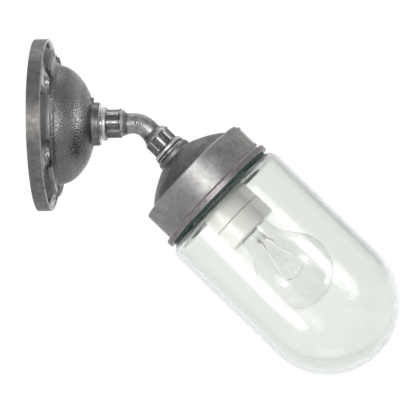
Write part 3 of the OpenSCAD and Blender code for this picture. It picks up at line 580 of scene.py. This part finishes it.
# Dark colour, light colour, lowest and highest roughness, and how metallic it is where that isn't 1
METALS = {
    "plated_steel": (grey(0.5), grey(0.72), 0.2, 0.36),
    "dark_steel": (grey(0.08), grey(0.2), 0.3, 0.5),
    "brass": ((0.55, 0.38, 0.14, 1), (0.80, 0.60, 0.28, 1), 0.2, 0.35),
    "solder": (grey(0.3), grey(0.5), 0.35, 0.5),
    "bulb_brass": ((0.55, 0.50, 0.40, 1), (0.75, 0.70, 0.60, 1), 0.22, 0.35),
    "lead_wire": ((0.78, 0.76, 0.72, 1), (0.94, 0.93, 0.90, 1), 0.4, 0.6, 0.2),
    "copper_sleeve": ((0.10, 0.06, 0.02, 1), (0.62, 0.44, 0.20, 1), 0.25, 0.45),
    "tungsten": (grey(0.12), grey(0.25), 0.35, 0.5),
}
SKINS = {
    "block_plastic": ((0.78, 0.77, 0.7, 1), (0.86, 0.85, 0.8, 1), 0.35, 0.5),
    "earth_sleeve": ((0.18, 0.42, 0.05, 1), (0.55, 0.60, 0.06, 1), 0.4, 0.5),
    "brown_sleeve": ((0.13, 0.05, 0.02, 1), (0.18, 0.07, 0.03, 1), 0.4, 0.5),
    "blue_sleeve": ((0.02, 0.08, 0.36, 1), (0.03, 0.11, 0.45, 1), 0.4, 0.5),
    "black_rubber": (grey(0.008), grey(0.02), 0.5, 0.7),
    "seal_rubber": ((0.016, 0.045, 0.038, 1), (0.035, 0.08, 0.068, 1), 0.5, 0.7),
    "black_glass": (grey(0.006), grey(0.012), 0.06, 0.14),
}
FINISHES = {
    "rose_casting": rose_casting(),
    "cap_casting": cap_casting(),
    "galvanised_iron": galvanised_iron(),
    "porcelain": porcelain(),
    "jar_glass": jar_glass(),
    "bulb_glass": glass("bulb_glass", (0.997, 1.0, 0.998, 1), 1.04, 0.07, 0.03).mat,
    **{name: plain_metal(name, *values) for name, values in METALS.items()},
    **{name: plain_skin(name, *values) for name, values in SKINS.items()},
}


def dress_nodes():
    """Gives every CAD node the finish of its slot, and the jar's seal a greener rubber of its own."""
    slots = {part["node"]: part["material_slot"] for part in frame["record"]["subparts"]}
    for name, node in nodes.items():
        node.data.materials.clear()
        node.data.materials.append(FINISHES["seal_rubber" if name == "jar_seal" else slots[name]])


# Pieces

def glass_jar():
    """The jar as a turned shell: threaded neck, shoulder, straight wall and round end, inside and out.

    The profile goes round the rim of the mouth, down the neck, over the shoulder and to the pole, and
    back inside. The thread is a ridge of 0.55 mm with a pitch of 4 mm.
    """
    radius, wall, round_s = 55, 4.5, 169.4
    neck, mouth, top, neck_end = 42.1, 37.4, 39.0, 54.0
    shoulder, shoulder_s = 10, 64.2
    thread_height, pitch = 0.55, 4.0
    outside = np.vstack([
        arc((mouth + 1, top + 1), 1.0, 180, 270, 5), arc((neck - 1.5, top + 1.5), 1.5, -90, 0, 6),
        finely([[neck, top + 1.6], [neck, neck_end]], 0.3),
        arc((radius - shoulder, shoulder_s), shoulder, -90, 0, 24),
        arc((0, round_s), radius, 0, 90, 60)])
    inside = np.vstack([
        arc((0, round_s), radius - wall, 90, 0, 54),
        arc((radius - shoulder, shoulder_s), shoulder - wall, 0, -90, 14),
        arc((mouth + 2, 56.7), 2, 90, 180, 8), finely([[mouth, 56.5], [mouth, top + 1.2]], 1.5)])

    def swell(r, s, a):
        on_neck = ((r > neck - 0.2) & (s < neck_end)).astype(float)
        return thread_height * thread(s, a, pitch, 40.0, 49.5, 2.5) * on_neck

    points = turned(np.vstack([outside, inside]), 360, swell)
    piece = surface("glass_jar_shell", points, FINISHES["jar_glass"], "jar")
    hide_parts("glass_jar")
    return piece


# Where the bend starts on the wall axis, the length from each mouth to the corner where its two straight
# lines would meet, and the radius of its curve
ARM_START, REACH, BEND = 51.3, 30.0, 17.0
STRAIGHT = REACH - BEND * math.tan(math.pi / 8)


def arm_line(t):
    """The middle line of the bend at the lengths t from its first mouth, and the outward side of its
    curve: straight along +x, an arc of 45 degrees downwards, and straight again along the lamp axis."""
    turn = np.clip((t - STRAIGHT) / BEND, 0, math.pi / 4)
    first, last = np.minimum(t, STRAIGHT), np.maximum(t - STRAIGHT - BEND * math.pi / 4, 0)
    x = ARM_START + first + BEND * np.sin(turn) + last * np.cos(turn)
    z = -BEND * (1 - np.cos(turn)) - last * np.sin(turn)
    return x, z, np.sin(turn), np.cos(turn)


def elbow():
    """The bend as one closed tube round its curved middle line, outside and bore.

    The outside is a banded socket at each end and a plain tube between: the radius is read off a table
    by the distance from the nearer mouth and averaged over 0.8 mm. The table's last column is for the
    inner side of the curve, where the casting is filled out. Eight ribs on each socket add 0.9 mm where
    the angle is near a multiple of 45 degrees, with soft flanks, and two pips add a bell of 1.2 mm.

    The mark painted_shade is 1 between the ribs, 0.9 on the under side of the sockets and 0.8 in a ring
    round each end of the tube. The mark crest is highest at the polished mouths and, as
    painted highlight, on the pips, and weaker on the sockets' shoulders and on the ribs.
    """
    table = np.array([
        [0, 12.5, 12.5], [0.5, 13.0, 13.0], [2.3, 13.0, 13.0], [3.2, 12.2, 12.0], [3.8, 10.5, 10.4],
        [4.4, 10.1, 10.1], [12.8, 10.1, 10.1], [13.9, 10.9, 10.2], [15.4, 10.8, 9.9], [17.0, 9.5, 9.2],
        [18.2, 8.2, 8.6], [19.2, 7.7, 8.2], [21.5, 7.8, 7.9], [40, 7.8, 7.8]])
    rows, sides = 240, 168
    tapped, plain, tapped_length = 8.15, 6.2, 11
    rib_step, rib_turn, rib_height = 45, 5, 0.9
    pips, pip_turn, pip_height = (26.9, 30.4), math.radians(86), 1.2

    length = 2 * STRAIGHT + BEND * math.pi / 4
    outer = np.linspace(0, length, rows)
    near = np.minimum(outer, length - outer)
    radius, fillet = (np.mean([np.interp(near + d, table[:, 0], table[:, k])
                               for d in (-0.4, -0.2, 0, 0.2, 0.4)], 0) for k in (1, 2))
    step_in, step_out = length - tapped_length, tapped_length
    bore = finely([[length, tapped], [step_in, tapped], [step_in, plain],
                   [step_out, plain], [step_out, tapped], [0, tapped]], 1.2)
    t = np.concatenate([outer, bore[:, 0]])[:, None]
    r = np.concatenate([radius, bore[:, 1]])[:, None]
    inner = np.concatenate([fillet, bore[:, 1]])[:, None]
    skin = np.concatenate([np.ones(rows), np.zeros(len(bore))])[:, None]
    angle = (np.arange(sides) / sides * TURN)[None, :]
    r = r + (inner - r) * smooth(-np.cos(angle), -0.2, 0.8)
    near = np.minimum(t, length - t)
    off = np.abs((np.degrees(angle) + rib_turn + rib_step / 2) % rib_step - rib_step / 2)
    rib = 1 - smooth(off, 4.5, 10.0)
    socket = between(near, (3.4, 4.2), (13.6, 15.4)) * skin
    lift = rib_height * rib * socket
    for at in pips:
        gap = np.hypot(t - at, r * (angle - pip_turn))
        lift = lift + pip_height * (1 - smooth(gap, 0.5, 1.5)) * skin
    x, z, out_x, out_z = arm_line(t)
    full = r + lift
    points = np.stack([x + full * np.cos(angle) * out_x, -full * np.sin(angle),
                       z + full * np.cos(angle) * out_z], -1)

    # Painted shade between the ribs, under the sockets and round each end of the tube
    under = between(np.degrees(angle), (104, 122), (190, 250))
    ring = between(near, (17.0, 18.4), (19.4, 20.4)) * skin
    painted_shade = np.maximum(socket * (1 - rib), 0.9 * under * socket) + 0.8 * ring
    # Painted highlight on the ribs, shoulders and pips, weaker underneath; polished metal at the mouths
    mouth, shoulder = 1 - smooth(near, 2.2, 3.2), between(near, (13.9, 14.6), (15.6, 16.4))
    crest = skin * (0.9 * mouth + 0.6 * shoulder + 0.5 * rib * socket * (1 - 0.8 * under)
                    + np.minimum(1, lift) * (near > 20))
    piece = surface("bend_casting", points, FINISHES["galvanised_iron"], "fixture",
                    marks=(("painted_shade", np.clip(painted_shade, 0, 1)), ("crest", np.clip(crest, 0, 1))))
    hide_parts("elbow")
    return piece


def tube(path, radius, sides):
    """Points of a round wire along a path of (across, side, along) points: at each point a ring across
    the path's direction, and a pole at each end."""
    p = np.asarray(path, float)
    ahead = np.gradient(p, axis=0)
    ahead /= np.linalg.norm(ahead, axis=1)[:, None]
    first = np.cross(ahead, (0.36, 0.48, 0.8))
    first /= np.linalg.norm(first, axis=1)[:, None]
    second = np.cross(ahead, first)
    angle = (np.arange(sides) / sides * TURN)[None, :, None]
    ring = p[:, None] + radius * (first[:, None] * np.cos(angle) + second[:, None] * np.sin(angle))
    poles = [np.repeat(end[:, None], sides, 1) for end in (p[:1], p[-1:])]
    ring = np.concatenate([poles[0], ring, poles[1]])
    return at_lamp(ring[..., 0], ring[..., 1], ring[..., 2])


def copper_sleeves():
    """The copper-coated part of each lead where it leaves the glass stem, wound round it: a helix of two
    turns, r = 1.3 mm, that runs on as a short straight tail."""
    turns, coil, start, rise, apart, wire = 2, 1.3, 97.0, 1.9, 2.6, 0.34
    made = []
    for name, side in (("left_sleeve", -1), ("right_sleeve", 1)):
        t = np.linspace(0, turns, 49)
        helix = np.stack([side * apart + coil * np.cos(TURN * t), coil * np.sin(TURN * t),
                          start + rise * t], -1)
        tail = np.linspace(0, 1, 9)[1:, None] * np.array([side * 2.2, 0.6, 6.5]) + helix[-1]
        points = tube(np.vstack([helix, tail]), wire, 10)
        piece = surface(name, points, FINISHES["copper_sleeve"], "bulb", closed=False)
        made.append(piece)
    return made


def porcelain_ring():
    """The front of the lampholder as a turned ring: a round front edge of 2.2 mm, a rounding of 0.7 mm
    where it meets the base, and the bore and recess that the bulb and the base's spigot need."""
    radius, front, edge, back_edge = 22.0, 90.0, 2.2, 0.7
    spigot, spigot_end = 18.8, 79.2
    outside = np.vstack([
        [[spigot, HOLDER_JOINT], [radius - back_edge, HOLDER_JOINT]],
        arc((radius - back_edge, HOLDER_JOINT + back_edge), back_edge, -90, 0, 5),
        finely([[radius, HOLDER_JOINT + 0.8], [radius, front - edge - 0.2]], 2),
        arc((radius - edge, front - edge), edge, 0, 90, 10)])
    bore = np.vstack([arc((HOLDER_BORE + 1, front - 1), 1.0, 90, 180, 6),
                      [[HOLDER_BORE, spigot_end], [spigot, spigot_end]]])
    piece = surface("porcelain_ring", turned(np.vstack([outside, bore]), 160), FINISHES["porcelain"],
                    "fixture")
    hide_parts("holder_ring")
    return piece


bpy.context.scene.view_settings.view_transform = "Standard"
set_camera()
set_world()
floor = set_floor(plain_skin("floor_paint", grey(0.78), grey(0.82), 0.6, 0.7, 2))
dress_nodes()
bend = elbow()
jar = glass_jar()
sleeves = copper_sleeves()
ring = porcelain_ring()

cap, seal, envelope, stem = (nodes[name] for name in ("cap", "jar_seal", "bulb_envelope", "bulb_stem"))
clear = [jar, envelope, stem]
holder = [nodes["holder_base"], ring]
wires = [nodes[name] for name in ("bulb_leads", "bulb_supports", "filament")] + sleeves
not_solid = ("glass_jar", "elbow", "bulb_envelope", "bulb_stem", "holder_ring")
solid = [bend, ring] + [node for name, node in nodes.items() if name not in not_solid]
solid_but_holder = [piece for piece in solid if piece not in holder]

# Each light: place, what it points at, width, height, glow, and the pieces that it lights
MIDDLE, BULB, MOUTH = (0.14, 0, -0.06), (0.222, 0, -0.106), (0.13, 0, -0.05)
LAMP_WAY, SIDEWAYS = (1, 0, -1), (0, 1, 0)
softbox("front_softbox", (0.41, -1.95, 0.18), MIDDLE, 1.3, 0.75, 3.0, solid)
softbox("right_softbox", (1.65, 0.49, 0.16), (0.14, 0, -0.02), 0.4, 0.4, 3.4, solid_but_holder)
softbox("top_softbox", (0.10, 0.45, 1.3), (0.1, 0, 0), 0.8, 0.5, 0.9)
softbox("low_softbox", (-0.55, -0.69, -0.745), (0.2, 0, -0.12), 0.40, 0.9, 2.6, clear)
softbox("glass_softbox", (1.04, -1.48, 1.03), (0.17, 0, -0.09), 0.75, 1.2, 1.25, clear, upright=LAMP_WAY)
softbox("holder_softbox", (-0.75, -0.85, -0.62), (0.13, 0, -0.06), 0.7, 0.7, 6.5, holder + wires,
        shaded_by=[cap] + holder)
softbox("bulb_softbox", (-0.20, -0.79, -0.90), BULB, 0.34, 0.70, 15, [envelope], shaded_by=holder,
        upright=LAMP_WAY)
softbox("neck_softbox", (-0.69, 0.74, 0.14), BULB, 0.22, 0.40, 7, [envelope], shaded_by=holder)
softbox("under_softbox", (0.15, 0, -0.88), (0.15, 0, 0), 7.6, 7.6, 0.38, clear, upright=SIDEWAYS)
softbox("floor_softbox", (0.15, 0, 4.0), (0.15, 0, 0), 6.0, 6.0, 0.57, [floor], upright=SIDEWAYS)
softbox("mouth_softbox", (0.90, -0.45, -0.80), MOUTH, 0.7, 0.7, 6.5, [cap, seal],
        shaded_by=[cap] + holder)
